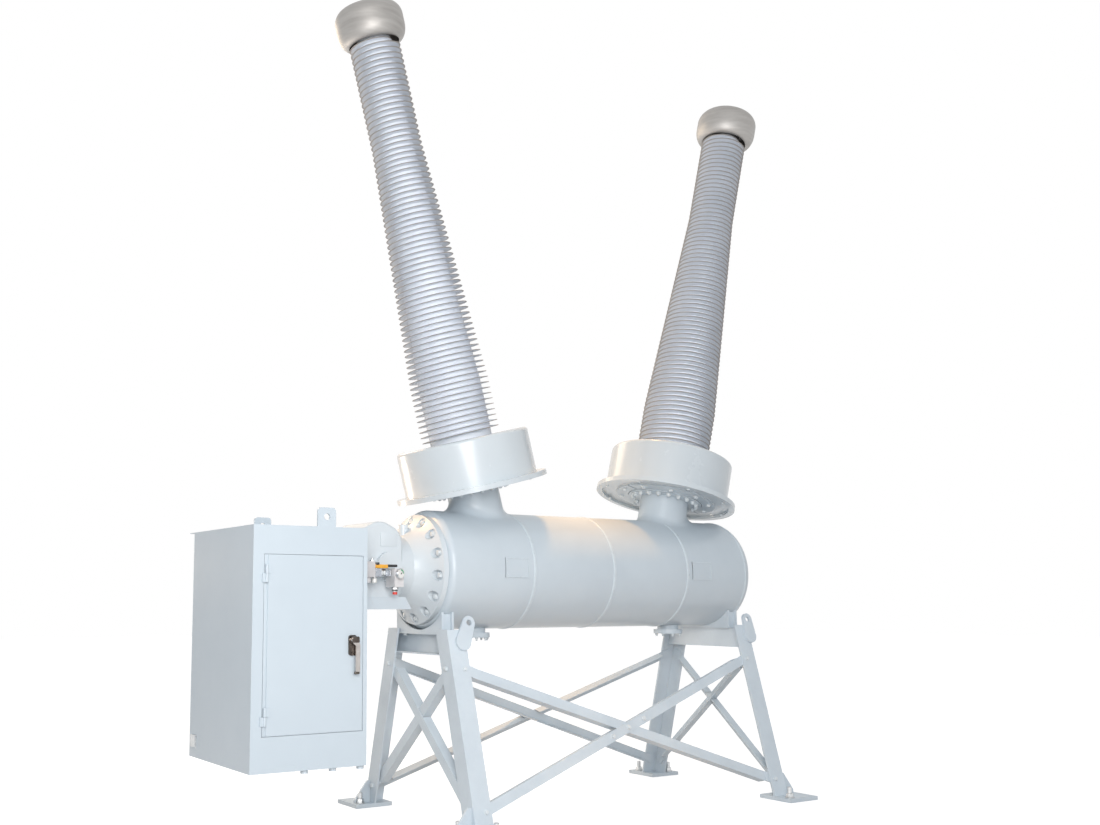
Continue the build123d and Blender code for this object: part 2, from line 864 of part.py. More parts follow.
front_lugs = [leg_lug(side) for side in (-1, 1)]
save("leg_lugs", Compound(front_lugs + [mirror(lug, Plane.XZ) for lug in front_lugs]))

for name, piece in (("cross_beam", cross_beam()), ("saddle", saddle())):
    save(name + "_right", piece)
    save(name + "_left", mirror(piece, Plane.YZ))

rise = 1 / cos(radians(leg_splay))
side_half = leg_x - brace_side_in
front_plane = front_frame(leg_y - leg_t, 1)
front_pair = brace_pair(front_plane, side_half, side_half, brace_low_z * rise, brace_high_z * rise, -1)
low_half = heel_y(brace_low_z) - brace_end_in
high_half = heel_y(brace_high_z) - brace_end_in
left_plane = Plane((leg_t - leg_x, 0, 0), x_dir=(0, 1, 0), z_dir=(1, 0, 0))
left_pair = brace_pair(left_plane, low_half, high_half, brace_low_z, brace_high_z, 1)
for number, word in enumerate(("rising", "falling")):
    save("front_brace_" + word, front_pair[number])
    save("back_brace_" + word, mirror(front_pair[number], Plane.XZ))
    save("left_brace_" + word, left_pair[number])
    save("right_brace_" + word, mirror(left_pair[number], Plane.YZ))

for name, wall in cabinet_walls().items():
    save(name, wall)
save("cabinet_lugs", Compound(cabinet_lugs()))
save("ground_pad", ground_pad())
save("floor_drains", Compound(floor_drains()))
save("support_arms", Compound([support_arm(side) for side in (-1, 1)]))

save("door_frame", Compound(door_frame()))
save("cabinet_door", cabinet_door())
save("hinge_pins", Compound(hinge_pins()))
save("door_knuckles", Compound(door_knuckles()))
save("handle_plate", handle_plate())
save("door_handle", door_handle())

save("gas_boss", gas_boss())
save("gas_valve", gas_valve())
save("valve_lever", valve_lever())
save("pressure_switch", pressure_switch())
save("density_monitor", density_monitor())
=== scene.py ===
import math

import bmesh
import bpy
from mathutils import Matrix, Vector


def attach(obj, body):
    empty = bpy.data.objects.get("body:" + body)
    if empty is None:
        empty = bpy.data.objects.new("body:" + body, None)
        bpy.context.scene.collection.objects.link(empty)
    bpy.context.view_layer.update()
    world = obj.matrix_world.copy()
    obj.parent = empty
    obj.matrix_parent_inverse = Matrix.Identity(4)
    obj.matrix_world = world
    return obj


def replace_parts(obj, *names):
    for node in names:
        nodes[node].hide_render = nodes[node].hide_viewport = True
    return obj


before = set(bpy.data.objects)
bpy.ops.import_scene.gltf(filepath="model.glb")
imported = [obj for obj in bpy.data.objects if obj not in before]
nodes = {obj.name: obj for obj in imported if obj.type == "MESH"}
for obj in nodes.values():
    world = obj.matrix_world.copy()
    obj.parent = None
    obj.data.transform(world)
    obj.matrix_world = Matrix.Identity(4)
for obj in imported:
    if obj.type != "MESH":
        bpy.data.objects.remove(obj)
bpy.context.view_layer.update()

print("frame loaded with", len(nodes), "nodes")

tank = {"radius": 0.305, "axisZ": 1.244, "leftEnd": -1.017, "rightEnd": 1.020}
bushing = {"x": 0.578, "lean": math.radians(14.5)}
stand = {"legX": 1.037, "legY": 0.540, "legT": 0.010, "splay": math.radians(15)}
sides = (("Left", -1), ("Right", 1))
hexagon = 6
mergeGap, pieceGap = 1e-5, 1e-6  # points closer than this become one
down = Matrix.Rotation(math.pi, 4, "X")


def bushingPlace(side):
    lean = Matrix.Rotation(side * bushing["lean"], 4, "Y")
    return Matrix.Translation((side * bushing["x"], 0, tank["axisZ"])) @ lean


def alongX(x, towards):
    turn = Matrix.Rotation(towards * math.pi / 2, 4, "Y")
    return Matrix.Translation((x, 0, tank["axisZ"])) @ turn


def facing(point, towards):
    turn = Vector(towards).to_track_quat("Z", "Y").to_matrix().to_4x4()
    return Matrix.Translation(point) @ turn


def ring(place, radius, count, turn=0.0):
    out = Matrix.Translation((radius, 0, 0))
    step = 2 * math.pi / count
    return [place @ Matrix.Rotation(turn + n * step, 4, "Z") @ out for n in range(count)]


def lift(height):
    return Matrix.Translation((0, 0, height))


def heelY(z):
    return stand["legY"] - z * math.tan(stand["splay"])


# finishes: colours are linear, scales are per metre
# each finish's corner colour and strength darken corners by ambient occlusion: painted shade, made patchy
# like dust
finishes = {
    "tankPaint": {
        "tones": ((0.525, 0.592, 0.648), (0.575, 0.645, 0.700)), "mottle": 2.2, "rough": (0.30, 0.42),
        "roughScale": 9.0, "grain": 420.0, "depth": 0.05, "shadeAndGrime": (0.36, 0.36, 0.34), "shadeAndDust": 0.12,
        "coat": 0.15},
    # a paler copy of the tank paint: painted light on the bell housing, gas boss and crank-box plate
    "litHousingPaint": {
        "tones": ((0.610, 0.665, 0.705), (0.660, 0.715, 0.755)), "mottle": 3.0, "rough": (0.30, 0.42),
        "roughScale": 9.0, "grain": 420.0, "depth": 0.05, "shadeAndGrime": (0.40, 0.40, 0.38), "shadeAndDust": 0.03,
        "coat": 0.15},
    # paler than the tank paint: painted highlight on weld beads and plate rims, with stronger painted shade
    # at their edges
    "weldHighlightPaint": {
        "tones": ((0.560, 0.626, 0.680), (0.620, 0.690, 0.742)), "mottle": 30.0, "rough": (0.25, 0.40),
        "roughScale": 60.0, "grain": 160.0, "depth": 0.25, "shadeAndGrime": (0.36, 0.36, 0.34), "shadeAndDust": 0.3,
        "coat": 0.15},
    "drumPaint": {
        "tones": ((0.560, 0.615, 0.655), (0.605, 0.662, 0.702)), "mottle": 1.6, "rough": (0.19, 0.29),
        "roughScale": 7.0, "grain": 300.0, "depth": 0.03, "shadeAndGrime": (0.36, 0.36, 0.34), "shadeAndDust": 0.08,
        "coat": 0.25},
    "standPaint": {
        "tones": ((0.570, 0.640, 0.700), (0.650, 0.722, 0.780)), "mottle": 5.0, "rough": (0.38, 0.55),
        "roughScale": 16.0, "grain": 380.0, "depth": 0.08, "shadeAndGrime": (0.34, 0.33, 0.31), "shadeAndDust": 0.35},
    "cabinetPaint": {
        "tones": ((0.535, 0.610, 0.672), (0.575, 0.652, 0.715)), "mottle": 1.4, "rough": (0.32, 0.44),
        "roughScale": 11.0, "grain": 520.0, "depth": 0.06, "shadeAndGrime": (0.38, 0.39, 0.38), "shadeAndDust": 0.12,
        "coat": 0.1},
    "silicone": {
        "tones": ((0.745, 0.785, 0.845), (0.805, 0.840, 0.895)), "mottle": 6.0, "rough": (0.42, 0.58),
        # the rim colour is painted warm backlight and shade on the shed edges
        "roughScale": 14.0, "grain": 260.0, "depth": 0.06, "rim": (0.31, 0.265, 0.225)},
    "zinc": {
        "tones": ((0.52, 0.54, 0.55), (0.68, 0.69, 0.70)), "mottle": 60.0, "rough": (0.28, 0.50),
        "roughScale": 90.0, "grain": 500.0, "depth": 0.10, "shadeAndGrime": (0.22, 0.21, 0.19), "metallic": 0.9},
    "boltPaint": {
        "tones": ((0.640, 0.695, 0.730), (0.720, 0.770, 0.800)), "mottle": 40.0, "rough": (0.30, 0.45),
        "roughScale": 60.0, "grain": 500.0, "depth": 0.08, "shadeAndGrime": (0.40, 0.40, 0.39), "shadeAndDust": 0.15,
        "coat": 0.1},
    "blackPlastic": {
        "tones": ((0.018, 0.018, 0.020), (0.035, 0.035, 0.037)), "mottle": 50.0, "rough": (0.38, 0.55),
        "roughScale": 120.0, "grain": 900.0, "depth": 0.15},
    "chrome": {
        "tones": ((0.44, 0.41, 0.39), (0.60, 0.57, 0.55)), "mottle": 30.0, "rough": (0.10, 0.22),
        "roughScale": 60.0, "grain": 200.0, "depth": 0.02, "metallic": 1.0},
    "darkChrome": {
        "tones": ((0.060, 0.050, 0.045), (0.150, 0.130, 0.115)), "mottle": 45.0, "rough": (0.15, 0.30),
        "roughScale": 80.0, "grain": 300.0, "depth": 0.04, "metallic": 1.0},
    "valveSteel": {
        "tones": ((0.36, 0.39, 0.44), (0.58, 0.61, 0.66)), "mottle": 60.0, "rough": (0.16, 0.32),
        "roughScale": 80.0, "grain": 300.0, "depth": 0.06, "shadeAndGrime": (0.10, 0.09, 0.08), "shadeAndDust": 0.3,
        "metallic": 0.9},
    "leverYellow": {
        "tones": ((0.72, 0.33, 0.03), (0.84, 0.44, 0.06)), "mottle": 40.0, "rough": (0.28, 0.42),
        "roughScale": 70.0, "grain": 400.0, "depth": 0.06, "shadeAndGrime": (0.30, 0.16, 0.03)},
    "caseGrey": {
        "tones": ((0.60, 0.59, 0.60), (0.70, 0.69, 0.70)), "mottle": 30.0, "rough": (0.32, 0.48),
        "roughScale": 60.0, "grain": 500.0, "depth": 0.08, "shadeAndGrime": (0.22, 0.22, 0.22), "shadeAndDust": 0.15},
    "switchGrey": {
        "tones": ((0.50, 0.49, 0.50), (0.60, 0.59, 0.60)), "mottle": 30.0, "rough": (0.32, 0.48),
        "roughScale": 60.0, "grain": 500.0, "depth": 0.08, "shadeAndGrime": (0.08, 0.08, 0.08), "shadeAndDust": 0.4},
    "capWhite": {
        "tones": ((0.74, 0.74, 0.72), (0.84, 0.84, 0.82)), "mottle": 40.0, "rough": (0.35, 0.50),
        "roughScale": 80.0, "grain": 500.0, "depth": 0.05, "shadeAndGrime": (0.40, 0.40, 0.38)},
    "capRed": {
        "tones": ((0.62, 0.03, 0.02), (0.74, 0.06, 0.04)), "mottle": 60.0, "rough": (0.35, 0.50),
        "roughScale": 90.0, "grain": 500.0, "depth": 0.05, "shadeAndGrime": (0.25, 0.02, 0.02)},
    "dialGreen": {
        "tones": ((0.03, 0.27, 0.13), (0.05, 0.36, 0.18)), "mottle": 60.0, "rough": (0.40, 0.55),
        "roughScale": 90.0, "grain": 500.0, "depth": 0.03},
}
pattern = {"detail": 5.0, "grainDetail": 2.0, "rough": 0.6, "low": 0.3, "high": 0.7, "coatRough": 0.12,
           "bump": 0.002}
# corner darkening by ambient occlusion: painted shade, broken into patches like dust
shadeAndDust = {"samples": 6, "reach": 0.03, "scale": 35.0, "thin": 0.3, "share": 0.5}
# ramp of the brown shed edges: painted warm backlight and shade
rimBacklightShade = {"start": 0.72, "full": 0.98, "most": 0.9}


def patternNoise(tree, coords, scale, detail=pattern["detail"]):
    noise = tree.nodes.new("ShaderNodeTexNoise")
    noise.inputs["Scale"].default_value = scale
    noise.inputs["Detail"].default_value = detail
    noise.inputs["Roughness"].default_value = pattern["rough"]
    tree.links.new(coords, noise.inputs["Vector"])
    return noise.outputs["Fac"]


def spread(tree, value, low, high):
    remap = tree.nodes.new("ShaderNodeMapRange")
    remap.inputs["From Min"].default_value = pattern["low"]
    remap.inputs["From Max"].default_value = pattern["high"]
    remap.inputs["To Min"].default_value = low
    remap.inputs["To Max"].default_value = high
    tree.links.new(value, remap.inputs["Value"])
    return remap.outputs["Result"]


def mixColours(tree, factor, low, high):
    mix = tree.nodes.new("ShaderNodeMix")
    mix.data_type = "RGBA"
    tree.links.new(factor, mix.inputs[0])
    for socket, colour in ((mix.inputs[6], low), (mix.inputs[7], high)):
        if isinstance(colour, tuple):
            socket.default_value = (*colour, 1.0)
        else:
            tree.links.new(colour, socket)
    return mix.outputs[2]


def makeFinish(name, look, turn=(0, 0, 0), stretch=(1, 1, 1)):
    material = bpy.data.materials.new(name)
    material.use_nodes = True
    tree = material.node_tree
    shader = tree.nodes["Principled BSDF"]
    shader.inputs["Metallic"].default_value = look.get("metallic", 0.0)
    shader.inputs["Coat Weight"].default_value = look.get("coat", 0.0)
    shader.inputs["Coat Roughness"].default_value = pattern["coatRough"]
    place = tree.nodes.new("ShaderNodeTexCoord").outputs["Object"]
    mapping = tree.nodes.new("ShaderNodeMapping")
    mapping.inputs["Rotation"].default_value = turn
    mapping.inputs["Scale"].default_value = stretch
    tree.links.new(place, mapping.inputs["Vector"])
    coords = mapping.outputs["Vector"]
    mottle = spread(tree, patternNoise(tree, coords, look["mottle"]), 0, 1)
    tone = mixColours(tree, mottle, *look["tones"])
    if "shadeAndGrime" in look:  # corners darkened by ambient occlusion: painted shade, made patchy like dust
        shade = tree.nodes.new("ShaderNodeAmbientOcclusion")
        shade.samples = shadeAndDust["samples"]
        shade.inputs["Distance"].default_value = shadeAndDust["reach"]
        corner = spread(tree, shade.outputs["AO"], look.get("shadeAndDust", shadeAndDust["share"]), 0.0)
        patchy = spread(tree, patternNoise(tree, place, shadeAndDust["scale"]), shadeAndDust["thin"], 1.0)
        patch = tree.nodes.new("ShaderNodeMath")
        patch.operation = "MULTIPLY"
        tree.links.new(corner, patch.inputs[0])
        tree.links.new(patchy, patch.inputs[1])
        tone = mixColours(tree, patch.outputs["Value"], tone, look["shadeAndGrime"])
    if "rim" in look:  # brown at the outer edge of each shed: painted warm backlight and shade
        reach = tree.nodes.new("ShaderNodeAttribute")
        reach.attribute_name = "shedReach"
        edge = tree.nodes.new("ShaderNodeMapRange")
        edge.inputs["From Min"].default_value = rimBacklightShade["start"]
        edge.inputs["From Max"].default_value = rimBacklightShade["full"]
        edge.inputs["To Max"].default_value = rimBacklightShade["most"]
        tree.links.new(reach.outputs["Fac"], edge.inputs["Value"])
        tone = mixColours(tree, edge.outputs["Result"], tone, look["rim"])
    tree.links.new(tone, shader.inputs["Base Color"])
    gloss = spread(tree, patternNoise(tree, coords, look["roughScale"]), *look["rough"])
    tree.links.new(gloss, shader.inputs["Roughness"])
    bump = tree.nodes.new("ShaderNodeBump")
    bump.inputs["Strength"].default_value = look["depth"]
    bump.inputs["Distance"].default_value = pattern["bump"]
    grain = patternNoise(tree, coords, look["grain"], pattern["grainDetail"])
    tree.links.new(grain, bump.inputs["Height"])
    tree.links.new(bump.outputs["Normal"], shader.inputs["Normal"])
    return material


finish = {name: makeFinish(name, look) for name, look in finishes.items()}

# spun aluminium: turning lines run round the bushing's own axis
spunLook = {"tones": ((0.355, 0.342, 0.328), (0.475, 0.462, 0.448)), "mottle": 3.5, "rough": (0.48, 0.60),
            "roughScale": 6.0, "grain": 24.0, "depth": 0.04, "shadeAndGrime": (0.20, 0.19, 0.18), "shadeAndDust": 0.3,
            "metallic": 1.0}
spunStretch = (1, 1, 7)
for word, side in sides:
    turn = (0, -side * bushing["lean"], 0)
    finish["spun" + word] = makeFinish("spun" + word, spunLook, turn, spunStretch)
print("finishes made:", len(finish))

# which finish each solid carries: the stand's legs and braces follow by name, the rest is the cabinet
dress = {
    "tankPaint": ["tank_shell", "tank_head", "tank_ports", "turret_flanges", "support_arms",
                  "clamp_plates_left", "clamp_plates_right"],
    # bell housing and gas boss take the paler paint, as painted light
    "litHousingPaint": ["bell_housing", "gas_boss"],
    "drumPaint": ["drum_base_left", "drum_base_right", "drum_left", "drum_right"],
    "standPaint": ["floor_drains", "leg_lugs", "saddle_left", "saddle_right", "cross_beam_left",
                   "cross_beam_right"],
    "zinc": ["ground_pad"],
    "darkChrome": ["handle_plate"],
    "chrome": ["door_handle"],
    "valveSteel": ["gas_valve"],
    "leverYellow": ["valve_lever"],
    "caseGrey": ["density_monitor"],
    "switchGrey": ["pressure_switch"],
    "spunLeft": ["corona_shield_left", "terminal_left"],
    "spunRight": ["corona_shield_right", "terminal_right"],
    "silicone": ["insulator_left", "insulator_right"],
}
carried = {node: name for name, group in dress.items() for node in group}
for node, solid in nodes.items():
    if node.startswith("leg_") or "_brace_" in node:
        carried.setdefault(node, "standPaint")
    solid.data.materials.clear()
    solid.data.materials.append(finish[carried.get(node, "cabinetPaint")])
print("solids dressed")


def makePiece(name, bm, look, body="breaker", crease=32):
    bmesh.ops.remove_doubles(bm, verts=bm.verts, dist=pieceGap)
    bmesh.ops.recalc_face_normals(bm, faces=bm.faces)
    mesh = bpy.data.meshes.new(name)
    bm.to_mesh(mesh)
    bm.free()
    mesh.shade_smooth()
    mesh.set_sharp_from_angle(angle=math.radians(crease))
    mesh.materials.append(finish[look])
    piece = bpy.data.objects.new(name, mesh)
    bpy.context.scene.collection.objects.link(piece)
    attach(piece, body)
    return piece


def roundEdges(bm, edges, offset, segments):
    bmesh.ops.bevel(bm, geom=edges, offset=offset, offset_type="OFFSET", affect="EDGES", segments=segments,
                    profile=0.5, material=-1)


def addRod(bm, place, radius, height, segments):
    return bmesh.ops.create_cone(bm, cap_ends=True, segments=segments, radius1=radius, radius2=radius,
                                 depth=height, matrix=place @ lift(height / 2))["verts"]


# helical sheds on a tapering tube
shed = {"foot": 0.458, "low": 0.712, "high": 2.894, "lowRadius": 0.167, "highRadius": 0.092,
        "coneStart": 0.14, "coneEnd": 0.73, "overhang": 0.045, "turns": 74, "steps": 48, "root": 0.0044,
        "tip": 0.0015, "fillet": 0.006, "droop": 0.002, "fade": 0.5, "slack": 0.001, "core": 0.0005,
        "crease": 40}


def tubeRadius(height):
    share = (height - shed["low"]) / (shed["high"] - shed["low"])
    fade = (share - shed["coneStart"]) / (shed["coneEnd"] - shed["coneStart"])
    return shed["lowRadius"] + (shed["highRadius"] - shed["lowRadius"]) * min(max(fade, 0), 1)


def easeIn(value):
    value = min(max(value, 0), 1)
    return value * value * (3 - 2 * value)


def makeSheds(name, side, node):
    bm = bmesh.new()
    pitch = (shed["high"] - shed["low"]) / shed["turns"]
    out, tip, root = shed["overhang"], shed["tip"], shed["root"]
    outline = [(0, 0), (0, pitch / 2 - root - shed["fillet"] / 3), (shed["fillet"], pitch / 2 - root),
               (out - tip, pitch / 2 - tip - shed["droop"]), (out, pitch / 2 - shed["droop"]),
               (out - tip, pitch / 2 + tip - shed["droop"]), (shed["fillet"], pitch / 2 + root),
               (0, pitch / 2 + root + shed["fillet"] / 3), (0, pitch)]
    line = [bm.verts.new((shed["lowRadius"] + r, 0, h)) for r, h in outline]
    edges = [bm.edges.new(pair) for pair in zip(line, line[1:])]
    turns = shed["turns"] - 1  # the last turn ends at the cap
    bmesh.ops.spin(bm, geom=line + edges, cent=(0, 0, 0), axis=(0, 0, 1),
                   dvec=(0, 0, pitch / shed["steps"]), angle=2 * math.pi, steps=shed["steps"],
                   use_merge=False)
    single = bm.verts[:] + bm.edges[:] + bm.faces[:]
    for turn in range(1, turns):
        copied = bmesh.ops.duplicate(bm, geom=single)["geom"]
        moved = [g for g in copied if isinstance(g, bmesh.types.BMVert)]
        bmesh.ops.translate(bm, verts=moved, vec=(0, 0, turn * pitch))
    bmesh.ops.remove_doubles(bm, verts=bm.verts, dist=mergeGap)
    shedReach = bm.verts.layers.float.new("shedReach")
    for vert in bm.verts:  # the helix fades in and out, and follows the taper
        angle = math.atan2(vert.co.y, vert.co.x) % (2 * math.pi) / (2 * math.pi)
        turn = math.floor(vert.co.z / pitch - angle + shed["slack"]) + angle
        fade = easeIn(turn / shed["fade"]) * easeIn((turns - turn) / shed["fade"])
        reach = math.hypot(vert.co.x, vert.co.y)
        height = shed["low"] + vert.co.z
        radius = tubeRadius(height) + (reach - shed["lowRadius"]) * fade
        vert[shedReach] = (reach - shed["lowRadius"]) / out
        vert.co = (vert.co.x / reach * radius, vert.co.y / reach * radius, height)
    plain = ((shed["foot"], shed["low"] + 2 * pitch), (shed["high"] - 2 * pitch, shed["high"]))
    for low, high in plain:  # bare tube below and above the helix
        addRod(bm, lift(low), tubeRadius(high) - shed["core"], high - low, shed["steps"])
    bmesh.ops.transform(bm, matrix=bushingPlace(side), verts=bm.verts)
    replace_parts(makePiece(name, bm, "silicone", crease=shed["crease"]), node)


makeSheds("shedsLeft", -1, "insulator_left")
makeSheds("shedsRight", 1, "insulator_right")
print("sheds wound")

# bolts: washer, head with a chamfered crown, and a thread end where one shows
boltShape = {"washerSides": 20, "threadSides": 16, "crown": 0.16, "crownSteps": 2, "chamfer": 0.2,
             "chamferSteps": 1, "crease": 25}


def upperRim(bm, verts, back, height):
    top = {v for v in verts if (back @ v.co).z > height}
    return [e for e in bm.edges if e.verts[0] in top and e.verts[1] in top]


def addBolt(bm, place, bolt):
    washer, head = bolt["washerT"], bolt["headT"]
    height = washer + head
    back = place.inverted()
    addRod(bm, place, bolt["washer"], washer, boltShape["washerSides"])
    made = addRod(bm, place @ lift(washer), bolt["head"], head, hexagon)
    crown = upperRim(bm, made, back, height - head / 2)
    roundEdges(bm, crown, head * boltShape["crown"], boltShape["crownSteps"])
    if "thread" in bolt:
        made = addRod(bm, place @ lift(height), bolt["thread"], bolt["threadT"], boltShape["threadSides"])
        tip = upperRim(bm, made, back, height + bolt["threadT"] / 2)
        roundEdges(bm, tip, bolt["thread"] * boltShape["chamfer"], boltShape["chamferSteps"])


def makeBolts(name, places, bolt, look="boltPaint"):
    bm = bmesh.new()
    for place in places:
        addBolt(bm, place, bolt)
    makePiece(name, bm, look, crease=boltShape["crease"])


def boltRing(place, bolt):
    return ring(place, bolt["circle"], bolt["count"], bolt.get("turn", 0.0))


coverBolt = {"washer": 0.0165, "washerT": 0.003, "head": 0.0142, "headT": 0.012, "circle": 0.248,
             "count": 14, "face": 0.028, "turn": math.radians(82)}
cover = alongX(tank["leftEnd"] - coverBolt["face"], -1)
makeBolts("coverBolts", boltRing(cover, coverBolt), coverBolt)

turretBolt = {"washer": 0.0150, "washerT": 0.003, "head": 0.0128, "headT": 0.010, "thread": 0.0078,
              "threadT": 0.006, "circle": 0.186, "count": 20, "face": 0.442}
clampBolt = {"washer": 0.013, "washerT": 0.002, "head": 0.0112, "headT": 0.009, "circle": 0.258,
             "count": 10, "face": 0.448, "turn": 0.31}
rimBolt = {"washer": 0.010, "washerT": 0.002, "head": 0.0080, "headT": 0.007, "circle": 0.362,
           "count": 8, "face": 0.448, "turn": 0.39}
for word, side in sides:
    base = bushingPlace(side)
    for name, bolt in (("turretBolts", turretBolt), ("clampBolts", clampBolt), ("rimBolts", rimBolt)):
        makeBolts(name + word, boltRing(base @ lift(bolt["face"]) @ down, bolt), bolt)

portBolt = {"washer": 0.0095, "washerT": 0.002, "head": 0.0082, "headT": 0.007, "thread": 0.005,
            "threadT": 0.008, "circle": 0.071, "count": 8, "x": 0.685, "face": 0.895, "turn": 0.39}
for word, side in sides:
    place = Matrix.Translation((side * portBolt["x"], 0, portBolt["face"])) @ down
    makeBolts("portBolts" + word, boltRing(place, portBolt), portBolt)
print("flange bolts set")

# stand: brace bolts, anchor studs with nuts, saddle bolts
braceBolt = {"washer": 0.013, "washerT": 0.0025, "head": 0.0112, "headT": 0.009, "low": 0.108,
             "high": 0.756, "sideIn": 0.070, "endIn": 0.056, "middle": 0.432, "apart": 0.115}
bracePlaces = []
tilt = stand["splay"]
for end in (-1, 1):
    outward = (0, end * math.cos(tilt), math.sin(tilt))
    for z in (braceBolt["low"], braceBolt["high"]):
        for side in (-1, 1):
            spot = (side * (stand["legX"] - braceBolt["sideIn"]), end * heelY(z), z)
            bracePlaces.append(facing(spot, outward))
            spot = (side * stand["legX"], end * (heelY(z) - braceBolt["endIn"]), z)
            bracePlaces.append(facing(spot, (side, 0, 0)))
    reach = stand["legX"] - braceBolt["sideIn"]
    slope = (braceBolt["high"] - braceBolt["low"]) / (2 * reach)
    for step in (-1, 0, 1):  # three bolts where the braces cross
        x = step * braceBolt["apart"]
        z = braceBolt["middle"] + x * slope
        bracePlaces.append(facing((x, end * (heelY(z) - stand["legT"]), z), outward))
makeBolts("braceBolts", bracePlaces, braceBolt)

anchor = {"washer": 0.026, "washerT": 0.004, "head": 0.0208, "headT": 0.019, "thread": 0.012,
          "threadT": 0.034, "offset": 0.064, "face": 0.020}
saddleBolt = {"washer": 0.013, "washerT": 0.003, "head": 0.0112, "headT": 0.009, "x": 1.004, "y": 0.165,
              "face": 0.917}
feet, seats = [], []
for side in (-1, 1):
    for end in (-1, 1):
        for step in (-1, 1):
            x = side * (stand["legX"] + step * anchor["offset"])
            y = end * (stand["legY"] - step * anchor["offset"])
            feet.append(Matrix.Translation((x, y, anchor["face"])))
        seat = (side * saddleBolt["x"], end * saddleBolt["y"], saddleBolt["face"])
        seats.append(Matrix.Translation(seat) @ down)
makeBolts("anchorNuts", feet, anchor, "zinc")
makeBolts("saddleBolts", seats, saddleBolt)
print("stand bolts set")


# a ring whose section is a circle, flattened where its width and height differ
def addRing(bm, place, radius, high, half, steps, segments):
    section = Matrix.Rotation(math.pi / 2, 4, "X") @ Matrix.Diagonal((high, half, 1, 1))
    start = Matrix.Translation((radius, 0, 0)) @ section
    loop = bmesh.ops.create_circle(bm, cap_ends=False, segments=segments, radius=1.0, matrix=start)["verts"]
    edges = list({e for v in loop for e in v.link_edges})
    bmesh.ops.spin(bm, geom=loop + edges, cent=(0, 0, 0), axis=(0, 0, 1), angle=2 * math.pi, steps=steps,
                   use_merge=True)
    bmesh.ops.remove_doubles(bm, verts=bm.verts, dist=mergeGap)
    fresh = [v for v in bm.verts if not v.tag]
    bmesh.ops.transform(bm, matrix=place, verts=fresh)
    for vert in fresh:
        vert.tag = True


# weld bands round the tank and a bead at the dished end, in paler paint as a painted highlight
weld = {"bands": (-0.503, 0.030, 0.566), "width": 0.020, "height": 0.0040, "endWidth": 0.012,
        "endHeight": 0.0034, "steps": 96, "segments": 12}
bm = bmesh.new()
beads = [(x, weld["width"], weld["height"]) for x in weld["bands"]]
beads.append((tank["rightEnd"], weld["endWidth"], weld["endHeight"]))
for x, width, height in beads:
    addRing(bm, alongX(x, 1), tank["radius"], height, width / 2, weld["steps"], weld["segments"])
makePiece("tankWelds", bm, "weldHighlightPaint")

# bare plates on the tank's front, curved to it, with a raised rim in paler paint as a painted highlight, and
# one on the crank box
plates = {"x": (-0.620, 0.672), "width": 0.145, "height": 0.100, "thick": 0.0030,
          "turn": math.radians(1.5), "rivet": 0.0042, "rivetDome": 0.45, "rivetCells": (12, 8),
          "inset": 0.014, "rim": 0.006, "rimT": 0.0052, "cells": (4, 8)}


def addSheet(bm, centre, width, height, thick):
    flat = Matrix.Translation((*centre, 0)) @ Matrix.Diagonal((width, height, 1, 1))
    across, up = plates["cells"]
    sheet = bmesh.ops.create_grid(bm, x_segments=across, y_segments=up, size=0.5, matrix=flat)["verts"]
    faces = list({f for v in sheet for f in v.link_faces})
    top = bmesh.ops.extrude_face_region(bm, geom=faces)["geom"]
    raised = [g for g in top if isinstance(g, bmesh.types.BMVert)]
    bmesh.ops.translate(bm, verts=raised, vec=(0, 0, thick))


def addRivet(bm, point):
    dome = Matrix.Translation(point) @ Matrix.Diagonal((1, 1, plates["rivetDome"], 1))
    around, up = plates["rivetCells"]
    bmesh.ops.create_uvsphere(bm, u_segments=around, v_segments=up, radius=plates["rivet"], matrix=dome)


def wrapOnTank(bm, x):
    for vert in [v for v in bm.verts if not v.tag]:
        angle = plates["turn"] + vert.co.y / tank["radius"]
        reach = tank["radius"] + vert.co.z
        vert.co = (x + vert.co.x, -math.cos(angle) * reach, tank["axisZ"] + math.sin(angle) * reach)
        vert.tag = True


sheets, rims = bmesh.new(), bmesh.new()
wide, tall, rim, inset = plates["width"], plates["height"], plates["rim"], plates["inset"]
for x in plates["x"]:
    addSheet(sheets, (0, 0), wide, tall, plates["thick"])
    for way in (-1, 1):
        addSheet(rims, (way * (wide - rim) / 2, 0), rim, tall, plates["rimT"])
        addSheet(rims, (0, way * (tall - rim) / 2), wide - 2 * rim, rim, plates["rimT"])
        for up in (-1, 1):
            addRivet(rims, (way * (wide / 2 - inset), up * (tall / 2 - inset), plates["thick"]))
    wrapOnTank(sheets, x)
    wrapOnTank(rims, x)
makePiece("tankPlates", sheets, "tankPaint")
makePiece("plateRims", rims, "weldHighlightPaint")


def addBar(bm, low, high, edge, segments=2):
    low, high = Vector(low), Vector(high)
    place = Matrix.Translation((low + high) / 2) @ Matrix.Diagonal((*(high - low), 1))
    bar = bmesh.ops.create_cube(bm, size=1.0, matrix=place)["verts"]
    roundEdges(bm, list({e for v in bar for e in v.link_edges}), edge, segments)


def makeBar(name, low, high, edge, look, slotName, body="breaker", segments=2):
    bm = bmesh.new()
    addBar(bm, low, high, edge, segments)
    makePiece(name, bm, look, body)


# the crank-box plate takes the paler housing paint, as painted light
boxPlate = {"low": (-1.346, -0.173, 1.349), "high": (-1.250, -0.170, 1.415), "round": 0.0015}
makeBar("housingPlate", boxPlate["low"], boxPlate["high"], boxPlate["round"], "litHousingPaint", "grey_paint")
print("welds and plates set")

